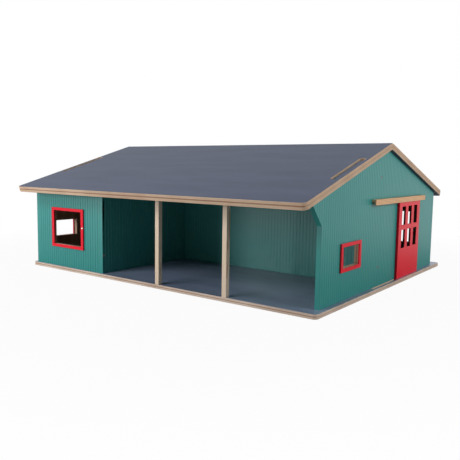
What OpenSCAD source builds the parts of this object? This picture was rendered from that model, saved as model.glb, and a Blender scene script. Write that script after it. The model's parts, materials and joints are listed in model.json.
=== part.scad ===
// Toy barn of plywood boards for 1:32 farm vehicles and animals: three open bays between
// posts, a closed corner room, a long rear hall with a sliding door, and two roof panels
// that lift straight off the tabs of the gables.
// Millimetres. +Z is up, the front is -Y and the ridge runs along X.
// The origin is on the floor, under the middle of the ridge.

/* [Base plate] */
// Width of the base plate, along the ridge
base_w = 730; // [620:1:860]
// Depth of the base plate, front to back
base_d = 626; // [560:1:720]
// Thickness of the base plate
base_t = 8; // [6:0.5:12]
// Radius of the base plate's corners
base_corner_r = 8; // [2:1:10]

/* [Roof] */
// Height of the ridge above the floor
ridge_h = 281; // [270:1:330]
// Slope of both roof panels, in degrees
roof_slope = 16.8; // [14:0.1:18]
// Thickness of the roof panels
roof_t = 12; // [8:0.5:15]
// Radius of the roof panels' rounded corners
roof_corner_r = 9; // [3:1:15]
// Reach of the roof past the gables' outer faces, with the panels centred
gable_overhang = 8.7; // [5:0.1:16]
// Reach of the front eave past the base plate
front_overhang = 37.5; // [20:0.5:60]
// Reach of the rear eave past the base plate
rear_overhang = 2.5; // [0:0.5:20]

/* [Roof slots and tabs] */
// Length of a roof slot, along the slope
slot_l = 125; // [60:1:140]
// Distance from the ridge to the middle of a slot, along the slope
slot_from_ridge = 169.4; // [150:0.1:200]
// Depth of a tab's top below the roof surface
tab_recess = 2; // [1:0.5:5]

/* [Walls] */
// Thickness of the gables, rear wall, middle wall and partition
wall_t = 8.7; // [6:0.1:10]
// Thickness of the front panel of the room
panel_t = 6; // [5:0.1:8]
// Distance between the grooves in the walls' ribbed faces
rib_pitch = 7.75; // [6:0.05:12]
// Width of a groove
rib_w = 1.4; // [1:0.1:3]
// Depth of a groove
rib_depth = 0.6; // [0.4:0.1:1.2]
// Distance from the base plate's ends to the gables' outer faces
gable_inset = 10.4; // [10.4:0.1:16]
// Distance from the base plate's front edge to the front panel's face
panel_setback = 4.8; // [2:0.1:10]
// Distance from the base plate's front edge to the right gable's front edge
gable_setback = 28.8; // [20:0.1:40]
// Forward reach of the right gable's flared top
flare_reach = 33.1; // [10:0.1:40]
// Height above the base plate where the flare starts
flare_h = 133.3; // [100:0.1:140]
// Distance from the base plate's rear edge to the rear wall's outer face
rear_inset = 34.1; // [20:0.1:45]
// Distance from the base plate's front edge to the middle wall's front face
middle_setback = 260.2; // [240:0.1:280]
// Width of the corner room, outside its side walls
room_w = 223.9; // [180:0.1:260]

/* [Posts] */
// Side of the square posts
post_side = 9.5; // [7:0.1:14]

/* [Windows] */
// Width of the window openings in the front panel and the rear wall
large_window_w = 97.4; // [60:0.1:110]
// Height of the window openings in the front panel and the rear wall
large_window_h = 74; // [50:0.5:80]
// Height of the large windows' openings above the base plate
large_sill = 48.5; // [30:0.5:60]
// Width of the window openings in the gables
small_window_w = 70.7; // [40:0.1:80]
// Height of the window openings in the gables
small_window_h = 36.5; // [25:0.5:60]
// Height of the small windows' openings above the base plate
small_sill = 55.5; // [40:0.5:70]
// Distance from the left gable's outer face to the front window's opening
front_window_in = 63.2; // [40:0.1:80]
// Distance from the right gable's outer face to the rear window's opening
rear_window_in = 38.6; // [20:0.1:80]
// Distance from the right gable's front edge to its window opening
right_window_in = 73.4; // [40:0.1:90]
// Distance from the front panel's face to the left gable's window opening
left_window_in = 32.5; // [20:0.1:60]
// Width of the window frames' uprights
frame_w = 8; // [7:0.5:12]
// Height of the window frames' cross members
frame_h = 6.3; // [4:0.1:12]
// Thickness of the window frames
frame_t = 3; // [2:0.5:5]
// Lap of the window frames' uprights over the sides of their openings
frame_lap = 3; // [0:0.1:4]

/* [Sliding door] */
// Width of the door
door_w = 125; // [110:1:140]
// Thickness of the door
door_t = 5; // [4:0.1:5.5]
// Distance from the door's rear edge, when it is shut, to the rear wall's outer face
door_from_rear = 112.6; // [90:0.1:130]
// Travel of the door from shut to open
door_travel = 117; // [80:1:120]
// Lap of the door over each side of its doorway
door_lap = 7.8; // [3:0.1:12]
// Lap of the door over the top of its doorway
head_lap = 10; // [7:0.1:20]
// Width of a pane opening
pane_w = 20.5; // [12:0.5:24]
// Height of a pane opening
pane_h = 38; // [25:0.5:42]
// Width of the upright bars between panes
pane_bar = 14.8; // [8:0.1:16]
// Height of the cross bar between the rows of panes
pane_cross = 10; // [6:0.5:16]
// Height of the door's top rail, above the upper panes
door_top_rail = 14.5; // [12:0.5:24]

/* [Door rail and groove] */
// Height of the rail's underside above the base plate
rail_from_base = 157; // [150:0.1:165]
// Height of the rail
rail_h = 10.4; // [9.6:0.1:16]
// Depth of the rail, out from the gable
rail_d = 8.5; // [8:0.1:10.4]
// Height of the door that the rail covers
rail_lap = 5; // [3:0.1:5.8]
// Length of the rail past the door's front edge when it is open
rail_past_open = 14; // [5:1:20]
// Length of the rail past the door's rear edge when it is shut
rail_past_shut = 24; // [5:1:40]
// Depth of the groove in the base plate
groove_depth = 3; // [2:0.1:4]

/* [Screws] */
// Diameter of the screw heads
screw_head_d = 5.6; // [4.6:0.1:5.8]
// Diameter of the screws' shanks
screw_d = 2.8; // [2:0.1:3.5]
// Length of the screws
screw_l = 24; // [16:1:30]
// Length of the short screws that hold the rail
rail_screw_l = 13; // [11:1:14]
// Height of the lower wall screws above the base plate
screw_low = 37; // [26:1:60]
// Height of the upper screws of the front panel above the base plate
screw_high = 133; // [100:1:150]
// Height of the upper screws of the middle wall above the base plate
middle_screw_high = 208; // [180:1:220]
// Distance from the ends of a wall to its base screws
screw_from_end = 45; // [25:1:60]
// Distance from the ends of the rail to its screws
rail_screw_in = 70; // [50:1:90]
// Distance from the front window frame's outer edge to its pin
pin_in = 2.6; // [2.5:0.1:3.3]
// Height of the pin above the middle of the front window
pin_above_middle = 3.3; // [-20:0.1:20]
// Diameter of the round head of the pin
pin_head_d = 4.6; // [3:0.1:5]
// Height of the pin's head above the frame
pin_head_h = 1.6; // [0.8:0.1:2.5]
// Length of the pin's shank
pin_l = 7; // [5:0.5:8]

/* [Clearances] */
// Gap between the boards of the roof and what they rest on
seat_gap = 0.3; // [0.2:0.05:0.6]
// Gap between the two roof panels at the ridge
ridge_gap = 0.6; // [0.4:0.1:1.5]
// Play of a tab across its roof slot, from side to side
slot_play = 4.2; // [0.8:0.1:5]
// Gap at the right side of each tab, as the roof panels lie to the left in their play
tab_side_gap = 0.4; // [0.3:0.05:2]
// Gap between a tab's end and the round end of its slot, as a roof panel is lifted off
slot_end_gap = 0.8; // [0.5:0.1:3]
// Gap round the door in its rail and groove
door_gap = 0.3; // [0.2:0.05:0.5]
// Gap round a screw in its hole
screw_gap = 0.05; // [0.02:0.01:0.1]

/* [Hidden] */

// Extra length of a cutting block past the board that it cuts
cut = 5;
round_fn = 48;
// Half angle of a countersunk head is 45 degrees, so its cone is as deep as it narrows
screw_head_h = (screw_head_d - screw_d) / 2;

film = "#4c5566";
green = "#3f8f86";
red = "#d2333f";
pine = "#dcb98e";
steel = "#c9c9c6";

// Roof: the ridge is at y = 0 and the two eaves are equally far from it
eave_y = (base_d + front_overhang + rear_overhang) / 2;
panel_l = eave_y / cos(roof_slope);
slot_w = wall_t + slot_play;
roof_shift = slot_play / 2 - tab_side_gap;
// A panel lifted straight up shifts this far along its slope before its slots clear the tabs
lift_shift = (roof_t - tab_recess + seat_gap) * tan(roof_slope);
tab_l = slot_l - slot_w - 2 * (slot_end_gap + lift_shift);
// Height of the walls' top edges at the distance y from the ridge
function seat_z(y) = ridge_h - (roof_t + seat_gap) / cos(roof_slope) - abs(y) * tan(roof_slope);

// Places across the barn, along X
gable_x = base_w / 2 - gable_inset;
inner_x = gable_x - wall_t;
roof_x = gable_x + gable_overhang;
partition_x = room_w - gable_x;
post_pitch = (inner_x - partition_x) / 3;
post_xs = [partition_x + post_pitch, partition_x + 2 * post_pitch];

// Places from front to back, along Y
front_y = front_overhang - eave_y;
back_y = front_y + base_d;
panel_y = front_y + panel_setback;
gable_front_y = front_y + gable_setback;
flare_y = gable_front_y - flare_reach;
middle_y = front_y + middle_setback;
wall_back_y = back_y - rear_inset;
gable_back_y = wall_back_y - wall_t;

// Door, doorway, rail and groove
door_y1 = wall_back_y - door_from_rear;
door_y0 = door_y1 - door_w;
door_x = gable_x + door_gap;
door_z0 = base_t - groove_depth + door_gap;
rail_z = base_t + rail_from_base;
door_z1 = rail_z + rail_lap;
doorway_z1 = door_z1 - head_lap;
channel_w = door_t + 2 * door_gap;
// The groove's round ends lie past the door's square corners at both ends of its travel
groove_y0 = door_y0 - door_travel - door_gap - channel_w / 2;
groove_y1 = door_y1 + door_gap + channel_w / 2;
pane_step = pane_w + pane_bar;
pane_row = pane_h + pane_cross;
pane_margin = (door_w - 3 * pane_w - 2 * pane_bar) / 2;

// Windows
front_window_x = front_window_in - gable_x;
rear_window_x = gable_x - rear_window_in - large_window_w;
right_window_y = gable_front_y + right_window_in;
left_window_y = panel_y + left_window_in;
large_z = base_t + large_sill;
small_z = base_t + small_sill;

// ---- Helpers ----

// Plate in the XY plane with its corners rounded: r_low at the low-Y side, r_high at the high
module rounded_sheet(x, y0, y1, r_low, r_high) {
    translate([-x, y0 + r_low])
        square([2 * x, y1 - y0 - r_low - r_high]);
    if (r_low > 0)
        rounded_strip(x, y0, r_low);
    if (r_high > 0)
        rounded_strip(x, y1 - r_high, r_high, 1);
}

// Strip of height r whose two outer corners are quarter circles, on its low or high side
module rounded_strip(x, y, r, high = 0) {
    translate([r - x, y])
        square([2 * (x - r), r]);
    for (side = [-1, 1])
        intersection() {
            translate([side * (x - r), y + r * (1 - high)])
                circle(r, $fn = round_fn);
            translate([-x, y])
                square([2 * x, r]);
        }
}

// Stadium outline of length l and width w along Y, centred, as a round cutter leaves it
module milled_slot(w, l) {
    square([w, l - w], center = true);
    for (end = [-1, 1])
        translate([0, end * (l - w) / 2])
            circle(w / 2, $fn = round_fn);
}

// Points of a board's face from a to b with V grooves, each [along, depth below the face]
function ribbed_face(a, b) =
    let (count = floor((b - a - rib_w) / rib_pitch), first = (a + b - (count - 1) * rib_pitch) / 2)
    concat(
        [[a, 0]],
        [for (i = [0 : count - 1], d = [-1, 0, 1])
            [first + i * rib_pitch + d * rib_w / 2, d == 0 ? rib_depth : 0]],
        [[b, 0]]
    );

// Upright ribbed board along X from x0 to x1, y to y + t, with its ribs on the front face or,
// with side = -1, on the back face
module ribbed_cross(x0, x1, y, t, side = 1) {
    face = side > 0 ? y : y + t;
    linear_extrude(ridge_h)
        polygon(concat(
            [for (p = ribbed_face(x0, x1)) [p[0], face + side * p[1]]],
            [[x1, face + side * t], [x0, face + side * t]]
        ));
}

// Upright ribbed board along Y from y0 to y1, whose ribbed face is at x and looks towards side
module ribbed_side(y0, y1, x, t, side) {
    linear_extrude(ridge_h)
        polygon(concat(
            [for (p = ribbed_face(y0, y1)) [x - side * p[1], p[0]]],
            [[x - side * t, y1], [x - side * t, y0]]
        ));
}

// Sheet drawn in (Y, Z) and given a thickness along X, from x outwards
module side_board(x, t) {
    translate([x, 0, 0])
        rotate([90, 0, 90])
            linear_extrude(t)
                children();
}

// Sheet drawn in (X, Z) and given a thickness along Y, from y to the back
module cross_board(y, t) {
    translate([0, y + t, 0])
        rotate([90, 0, 0])
            linear_extrude(t)
                children();
}

// Block across the barn from the base plate up to the slope of the roof
module under_roof(x0, x1, y, t) {
    side_board(x0, x1 - x0)
        polygon([[y, base_t], [y + t, base_t], [y + t, seat_z(y + t)], [y, seat_z(y)]]);
}

// Ribbed wall across the barn, cut off under the slope of the roof
module cross_wall(x0, x1, y, t, side = 1) {
    intersection() {
        ribbed_cross(x0, x1, y, t, side);
        under_roof(x0 - cut, x1 + cut, y - cut, t + 2 * cut);
    }
}

// One countersunk screw along Z, with its head's face at z = 0 and its point below
module screw(length = screw_l, gap = 0) {
    rotate_extrude($fn = round_fn)
        polygon([
            [0, gap > 0 ? cut : 0],
            [screw_head_d / 2 + gap, gap > 0 ? cut : 0],
            [screw_head_d / 2 + gap, 0],
            [screw_d / 2 + gap, -screw_head_h],
            [screw_d / 2 + gap, -length - gap],
            [0, -length - gap]
        ]);
}

// Turns and places children, drawn with +Z out of the wood, at each [point, rotation]
module at_each(places) {
    for (p = places)
        translate(p[0])
            rotate(p[1])
                children();
}

// The places of the screws, each a point on the outer face and the turn of the head
out_left = [0, -90, 0];
out_right = [0, 90, 0];
out_back = [-90, 0, 0];
out_down = [180, 0, 0];
low_z = base_t + screw_low;
high_z = base_t + screw_high;
middle_high_z = base_t + middle_screw_high;
middle_mid_y = middle_y + wall_t / 2;
panel_mid_y = panel_y + panel_t / 2;
gable_mid_x = gable_x - wall_t / 2;
partition_mid_x = partition_x - wall_t / 2;

gable_screw_places = [
    for (z = [low_z, middle_high_z])
        for (side = [[-gable_x, out_left], [gable_x, out_right]])
            [[side[0], middle_mid_y, z], side[1]]
];
panel_screw_places = [
    for (z = [low_z, high_z])
        for (side = [[-gable_x, out_left], [partition_x, out_right]])
            [[side[0], panel_mid_y, z], side[1]]
];
rear_screw_places = [
    for (z = [low_z, high_z])
        for (side = [-1, 1])
            [[side * gable_mid_x, wall_back_y, z], out_back]
];
partition_screw_places = [
    for (z = [low_z, middle_high_z])
        [[partition_mid_x, middle_y + wall_t, z], out_back]
];
wall_screw_places = concat(
    gable_screw_places, panel_screw_places, rear_screw_places, partition_screw_places
);

gable_base_ys = [gable_front_y + screw_from_end, gable_back_y - screw_from_end];
cross_base_xs = [screw_from_end - inner_x, inner_x - screw_from_end];
base_screw_places = concat(
    [for (y = gable_base_ys) for (side = [-1, 1]) [[side * gable_mid_x, y, 0], out_down]],
    [for (x = cross_base_xs) [[x, middle_mid_y, 0], out_down]],
    [for (x = cross_base_xs) [[x, wall_back_y - wall_t / 2, 0], out_down]],
    [for (x = [screw_from_end - inner_x, partition_x - wall_t - screw_from_end])
        [[x, panel_mid_y, 0], out_down]],
    [[[partition_mid_x, (panel_y + middle_y) / 2, 0], out_down]],
    [for (x = post_xs) [[x, front_y + post_side / 2, 0], out_down]]
);

// The rail is held from inside the gable, above the door's channel
rail_y0 = door_y0 - door_travel - rail_past_open;
rail_y1 = door_y1 + rail_past_shut;
rail_solid_h = rail_h - rail_lap - door_gap;
rail_screw_z = rail_z + rail_h - rail_solid_h / 2;
rail_screw_places = [
    for (y = [rail_y0 + rail_screw_in, rail_y1 - rail_screw_in])
        [[inner_x, y, rail_screw_z], out_left]
];

pin_place = [
    front_window_x + large_window_w - frame_lap + frame_w - pin_in,
    panel_y - frame_t,
    large_z + large_window_h / 2 + pin_above_middle
];

// Holes for every screw of a list, cut from the boards that they pass
module screw_holes(places, length = screw_l) {
    at_each(places)
        screw(length, screw_gap);
}

// Pin with a low round head, along Z with its head above z = 0
module pin(gap = 0) {
    dome_r = (pin_head_d * pin_head_d / 4 + pin_head_h * pin_head_h) / (2 * pin_head_h);
    if (gap == 0)
        intersection() {
            translate([0, 0, pin_head_h - dome_r])
                sphere(dome_r, $fn = round_fn);
            cylinder(h = pin_head_h, d = pin_head_d, $fn = round_fn);
        }
    translate([0, 0, -pin_l - gap])
        cylinder(h = pin_l + gap + (gap > 0 ? cut : 0), r = pin_shank_r + gap, $fn = round_fn);
}
pin_shank_r = pin_head_d / 5;

// ---- Base plate ----

// Film-faced board with rounded corners and the groove that the door runs in
module base_plate() {
    color(film)
        difference() {
            linear_extrude(base_t)
                rounded_sheet(base_w / 2, front_y, back_y, base_corner_r, base_corner_r);
            translate([gable_x + channel_w / 2, (groove_y0 + groove_y1) / 2, base_t - groove_depth])
                linear_extrude(groove_depth + cut)
                    milled_slot(channel_w, groove_y1 - groove_y0);
            screw_holes(base_screw_places);
        }
}

// ---- Gables ----

// Outline of a gable in (Y, Z) from its front edge, with its top edge under the roof
module gable_outline(front, flare) {
    polygon([
        [front, base_t],
        [gable_back_y, base_t],
        [gable_back_y, seat_z(gable_back_y)],
        [0, seat_z(0)],
        [front - flare, seat_z(front - flare)],
        if (flare > 0) [front, base_t + flare_h]
    ]);
}

// Tab that stands up through each roof panel's slot, square to the slope
module gable_tabs() {
    for (side = [-1, 1])
        translate([0, ridge_h])
            rotate(-side * roof_slope)
                translate([side * slot_from_ridge - tab_l / 2, -roof_t - seat_gap - wall_t])
                    square([tab_l, roof_t + seat_gap + wall_t - tab_recess]);
}

// Window opening of a gable, through the board
module small_window_cut(y) {
    translate([-roof_x, y, small_z])
        cube([2 * roof_x, small_window_w, small_window_h]);
}

// Gable with the flared front, a window and the doorway behind the sliding door
module right_gable() {
    color(green)
        difference() {
            intersection() {
                side_board(inner_x - cut, wall_t + 2 * cut) {
                    gable_outline(gable_front_y, flare_reach);
                    gable_tabs();
                }
                ribbed_side(flare_y - cut, gable_back_y, gable_x, wall_t, 1);
            }
            small_window_cut(right_window_y);
            translate([inner_x - cut, door_y0 + door_lap, base_t - cut])
                cube([wall_t + 2 * cut, door_w - 2 * door_lap, doorway_z1 - base_t + cut]);
            screw_holes(gable_screw_places);
            screw_holes(rear_screw_places);
            screw_holes(base_screw_places);
            screw_holes(rail_screw_places, rail_screw_l);
        }
}

// Gable beside the corner room, with a window that lights it
module left_gable() {
    color(green)
        difference() {
            intersection() {
                side_board(-gable_x - cut, wall_t + 2 * cut) {
                    gable_outline(panel_y, 0);
                    gable_tabs();
                }
                ribbed_side(panel_y, gable_back_y, -gable_x, wall_t, -1);
            }
            small_window_cut(left_window_y);
            screw_holes(gable_screw_places);
            screw_holes(panel_screw_places);
            screw_holes(rear_screw_places);
            screw_holes(base_screw_places);
        }
}

// ---- Walls across the barn ----

// Rear wall, over the rear edges of both gables, with one window
module rear_wall() {
    color(green)
        difference() {
            cross_wall(-gable_x, gable_x, gable_back_y, wall_t, -1);
            translate([rear_window_x, gable_back_y - cut, large_z])
                cube([large_window_w, wall_t + 2 * cut, large_window_h]);
            screw_holes(rear_screw_places);
            screw_holes(base_screw_places);
        }
}

// Wall between the open bays and the rear hall
module middle_wall() {
    color(green)
        difference() {
            cross_wall(-inner_x, inner_x, middle_y, wall_t);
            screw_holes(gable_screw_places);
            screw_holes(partition_screw_places);
            screw_holes(base_screw_places);
        }
}

// Wall between the corner room and the first bay
module room_partition() {
    color(green)
        difference() {
            intersection() {
                ribbed_side(panel_y, middle_y, partition_x, wall_t, 1);
                under_roof(
                    partition_x - wall_t - cut, partition_x + cut,
                    panel_y - cut, middle_y - panel_y + 2 * cut
                );
            }
            screw_holes(panel_screw_places);
            screw_holes(partition_screw_places);
            screw_holes(base_screw_places);
        }
}

// Thin front board of the corner room, held between the left gable and the partition
module front_panel() {
    color(green)
        difference() {
            cross_wall(-inner_x, partition_x - wall_t, panel_y, panel_t);
            translate([front_window_x, panel_y - cut, large_z])
                cube([large_window_w, panel_t + 2 * cut, large_window_h]);
            screw_holes(panel_screw_places);
            screw_holes(base_screw_places);
            translate(pin_place)
                rotate([90, 0, 0])
                    pin(screw_gap);
        }
}

// Square post, flush with the base plate's front edge and cut to the slope on top
module post(x) {
    color(pine)
        difference() {
            under_roof(x - post_side / 2, x + post_side / 2, front_y, post_side);
            screw_holes(base_screw_places);
        }
}

// ---- Roof ----

// Roof panel of the rear slope: a board in its own plane, turned down from the ridge, with
// a slot over each gable and its ridge edge mitred upright
module roof_panel(ridge_r) {
    difference() {
        translate([-roof_shift, 0, ridge_h])
            rotate([-roof_slope, 0, 0])
                translate([0, 0, -roof_t])
                    difference() {
                        linear_extrude(roof_t)
                            rounded_sheet(roof_x, 0, panel_l, ridge_r, roof_corner_r);
                        for (side = [-1, 1])
                            translate([side * gable_mid_x, slot_from_ridge, -cut])
                                linear_extrude(roof_t + 2 * cut)
                                    milled_slot(slot_w, slot_l);
                    }
        translate([-roof_x - cut, ridge_gap / 2 - roof_t, ridge_h - 2 * roof_t])
            cube([2 * (roof_x + cut), roof_t, 3 * roof_t]);
    }
}

// Front panel, square at the ridge
module front_roof() {
    color(film)
        mirror([0, 1, 0])
            roof_panel(0);
}

// Rear panel, with all four corners rounded
module rear_roof() {
    color(film)
        roof_panel(roof_corner_r);
}

// ---- Sliding door and its rail ----

// Door leaf with two rows of three panes over a plain lower half
module sliding_door() {
    color(red)
        difference() {
            translate([door_x, door_y0, door_z0])
                cube([door_t, door_w, door_z1 - door_z0]);
            for (column = [0 : 2])
                for (row = [0 : 1])
                    translate([
                        door_x - cut,
                        door_y0 + pane_margin + column * pane_step,
                        door_z1 - door_top_rail - pane_h - row * pane_row
                    ])
                        cube([door_t + 2 * cut, pane_w, pane_h]);
        }
}

// Rail of solid wood with a rebate that the top of the door runs in
module door_rail() {
    rebate_h = rail_lap + door_gap;
    color(pine)
        difference() {
            translate([gable_x, rail_y1, rail_z])
                rotate([90, 0, 0])
                    linear_extrude(rail_y1 - rail_y0)
                        polygon([
                            [0, rebate_h],
                            [channel_w, rebate_h],
                            [channel_w, 0],
                            [rail_d, 0],
                            [rail_d, rail_h],
                            [0, rail_h]
                        ]);
            screw_holes(rail_screw_places, rail_screw_l);
        }
}

// ---- Window frames ----

// Frame in its own plane round an opening whose low corner is at the origin. Its uprights lap
// over the sides of the opening, and its cross members are level with the top and the sill.
module frame_sheet(w, h) {
    difference() {
        translate([frame_lap - frame_w, -frame_h])
            square([w + 2 * (frame_w - frame_lap), h + 2 * frame_h]);
        translate([frame_lap, 0])
            square([w - 2 * frame_lap, h]);
    }
}

module front_window_frame() {
    color(red)
        difference() {
            cross_board(panel_y - frame_t, frame_t)
                translate([front_window_x, large_z])
                    frame_sheet(large_window_w, large_window_h);
            translate(pin_place)
                rotate([90, 0, 0])
                    pin(screw_gap);
        }
}

module rear_window_frame() {
    color(red)
        cross_board(wall_back_y, frame_t)
            translate([rear_window_x, large_z])
                frame_sheet(large_window_w, large_window_h);
}

module right_window_frame() {
    color(red)
        side_board(gable_x, frame_t)
            translate([right_window_y, small_z])
                frame_sheet(small_window_w, small_window_h);
}

module left_window_frame() {
    color(red)
        side_board(-gable_x - frame_t, frame_t)
            translate([left_window_y, small_z])
                frame_sheet(small_window_w, small_window_h);
}

// ---- Fasteners ----

// Round-headed pin in the middle of the front window frame's right member
module frame_pin() {
    color(steel)
        translate(pin_place)
            rotate([90, 0, 0])
                pin();
}

// Screws that join the upright boards to each other
module wall_screws() {
    color(steel)
        at_each(wall_screw_places)
            screw();
}

// Screws up through the base plate into the walls and posts
module base_screws() {
    color(steel)
        at_each(base_screw_places)
            screw();
}

// Short screws from inside the right gable into the rail
module rail_screws() {
    color(steel)
        at_each(rail_screw_places)
            screw(rail_screw_l);
}

base_plate();
left_gable();
right_gable();
rear_wall();
middle_wall();
room_partition();
front_panel();
post(post_xs[0]);  // left_post
post(post_xs[1]);  // right_post
front_roof();
rear_roof();
sliding_door();
door_rail();
front_window_frame();
right_window_frame();
left_window_frame();
rear_window_frame();
frame_pin();
wall_screws();
base_screws();
rail_screws();
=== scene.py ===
# %% [markdown]
# # A toy barn of plywood, dressed for its photograph
# The model of the barn is already made and fixed: every board, screw and joint is a solid of
# its own. This file gives those solids their looks in Blender. It never moves or resizes a
# board. It eases the boards' edges, tells each face whether it is film, paint or bare wood,
# and builds the light and the camera. All lengths in the scene are in metres.

# %% Load the fixed model
import json
import math

import bmesh
import bpy
from mathutils import Matrix, Vector


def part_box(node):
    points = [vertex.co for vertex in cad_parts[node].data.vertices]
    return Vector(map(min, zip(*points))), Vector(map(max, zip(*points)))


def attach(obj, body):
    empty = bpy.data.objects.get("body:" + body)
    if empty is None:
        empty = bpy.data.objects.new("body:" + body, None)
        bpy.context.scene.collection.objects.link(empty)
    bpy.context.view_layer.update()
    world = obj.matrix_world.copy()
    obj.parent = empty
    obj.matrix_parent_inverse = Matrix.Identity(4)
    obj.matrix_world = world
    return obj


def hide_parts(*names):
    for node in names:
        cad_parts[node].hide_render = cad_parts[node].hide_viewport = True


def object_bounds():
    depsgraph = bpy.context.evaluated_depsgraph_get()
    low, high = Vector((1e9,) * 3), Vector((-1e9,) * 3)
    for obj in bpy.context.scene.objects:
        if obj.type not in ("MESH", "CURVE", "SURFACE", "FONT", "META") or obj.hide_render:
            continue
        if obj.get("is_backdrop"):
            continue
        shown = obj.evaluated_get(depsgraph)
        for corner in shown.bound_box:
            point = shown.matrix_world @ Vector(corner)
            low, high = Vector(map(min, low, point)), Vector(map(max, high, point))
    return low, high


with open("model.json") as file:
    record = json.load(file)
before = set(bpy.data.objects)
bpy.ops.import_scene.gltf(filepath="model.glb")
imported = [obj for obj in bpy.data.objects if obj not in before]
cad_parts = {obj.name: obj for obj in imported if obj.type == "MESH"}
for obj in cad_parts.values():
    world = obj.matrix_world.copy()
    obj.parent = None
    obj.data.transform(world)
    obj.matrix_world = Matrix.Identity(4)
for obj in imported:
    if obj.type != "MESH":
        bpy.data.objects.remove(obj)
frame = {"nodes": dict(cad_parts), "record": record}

MODEL_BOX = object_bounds()
MM = 0.001
size_mm = [round((high - low) / MM) for low, high in zip(*MODEL_BOX)]
print("the model's nodes:", len(frame["nodes"]), "and its size in mm:", size_mm)

# %% [markdown]
# ## Colours and shader nodes
# Colours are given as hex values, as in a paint program. Blender's sockets want
# linear light, so one function converts them. A second function adds a shader node with its
# settings and its links in one call, which keeps each material short enough to read.

# %% Two small helpers
def linear(hex_colour):
    """Turn an sRGB colour such as "#3f8f86" into linear red, green, blue and alpha."""
    parts = [int(hex_colour[i:i + 2], 16) / 255 for i in (1, 3, 5)]
    return [p / 12.92 if p <= 0.04045 else ((p + 0.055) / 1.055) ** 2.4 for p in parts] + [1]


def add(tree, kind, inputs=None, **settings):
    """Add a node. settings are its options, and inputs are its sockets' values or links."""
    node = tree.nodes.new(kind)
    for option, value in settings.items():
        setattr(node, option, value)
    for socket, value in (inputs or {}).items():
        if isinstance(value, bpy.types.NodeSocket):
            tree.links.new(value, node.inputs[socket])
        else:
            node.inputs[socket].default_value = value
    return node


print("#808080 in linear light is", round(linear("#808080")[0], 3))

# %% [markdown]
# ## The camera
# The photograph was taken from the front right, a little below the height of the ridge and
# about 1.3 m away. Its place was worked out from the straight edges of the boards. A camera
# could be aimed at a point by a constraint, but then it can't roll. So its own axes are built
# from three angles: the turn round the barn, the tilt down and the small roll. The lens is a
# normal one, and the shift moves the picture by 5 pixels.

# %% Place the camera
CAMERA_PLACE_MM = Vector((750.2, -1035.8, 231.2))
TURN, TILT, ROLL = math.radians(36.7), math.radians(6.017), math.radians(0.882)
FOCAL_PX, FRAME_PX, CENTRE_ROW_PX = 552.9, 460, 225
SENSOR_MM = 36

ahead = Vector((-math.sin(TURN) * math.cos(TILT), math.cos(TURN) * math.cos(TILT), -math.sin(TILT)))
level_right = Vector((math.cos(TURN), math.sin(TURN), 0))
level_up = level_right.cross(ahead)
right = level_right * math.cos(ROLL) + level_up * math.sin(ROLL)
up = level_up * math.cos(ROLL) - level_right * math.sin(ROLL)

camera = bpy.data.objects.new("photo_camera", bpy.data.cameras.new("photo_camera"))
camera.data.sensor_width = SENSOR_MM
camera.data.lens = FOCAL_PX / FRAME_PX * SENSOR_MM
camera.data.shift_y = (CENTRE_ROW_PX - FRAME_PX / 2) / FRAME_PX
camera.data.clip_start, camera.data.clip_end = 0.05, 20
axes = Matrix((right, up, -ahead)).transposed()
camera.matrix_world = Matrix.Translation(CAMERA_PLACE_MM * MM) @ axes.to_4x4()
bpy.context.scene.collection.objects.link(camera)
bpy.context.scene.camera = camera
print("lens:", round(camera.data.lens, 2), "mm")

# %% [markdown]
# ## What each board is made of
# Before any board is dressed, the materials are made. Every board stores a place for each of
# its points, in millimetres: along its grain, across it, and below its outer face. The
# materials read that place, so a pattern keeps its real size and turns with the board. An
# unwrapped image could do the same, but every board would need its own unwrapping. A second
# number tells how far through the board a point lies, for the layers of a cut edge, and a
# third marks the faces that cut across the grain.

# %% Names that the materials share
PLACE, THROUGH, TURNED = "board_mm", "through_board", "end_grain"
FACTOR, FIRST, SECOND, MIXED = 0, 6, 7, 2     # the colour sockets of a Mix node


def new_material(name):
    """Make a material and return it with its node tree and its shader."""
    material = bpy.data.materials.new(name)
    material.use_nodes = True
    return material, material.node_tree, material.node_tree.nodes["Principled BSDF"]


print("stored with each board:", PLACE, THROUGH, TURNED)

# %% [markdown]
# ### Phenolic film
# The roof and the base are birch plywood with a phenolic film on both faces, as used for
# shuttering and trailer floors. The film is paper soaked in resin and pressed on hot between
# steel plates. It is dark slate and even, and the veneer below shows through as faint long
# clouds. The same film gets two finishes. On the roof it is satin and dull. On the floor it
# is smoother, because wheels have polished it, and it mirrors the walls softly. The floor's
# film is also painted lighter than the roof's, as painted light for the brighter floor.
# The resin has an IOR of about 1.55, and the level of its shine is matched to the photograph.
# The paper's own grain of 0.3 mm is too fine for the picture, so it is drawn 2 mm wide.

# %% Make the film
CLOUD_LONG_MM, CLOUD_WIDE_MM = 160, 34
PAPER_GRAIN_MM = 2
ROUGHNESS_SPREAD = 0.05


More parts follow.
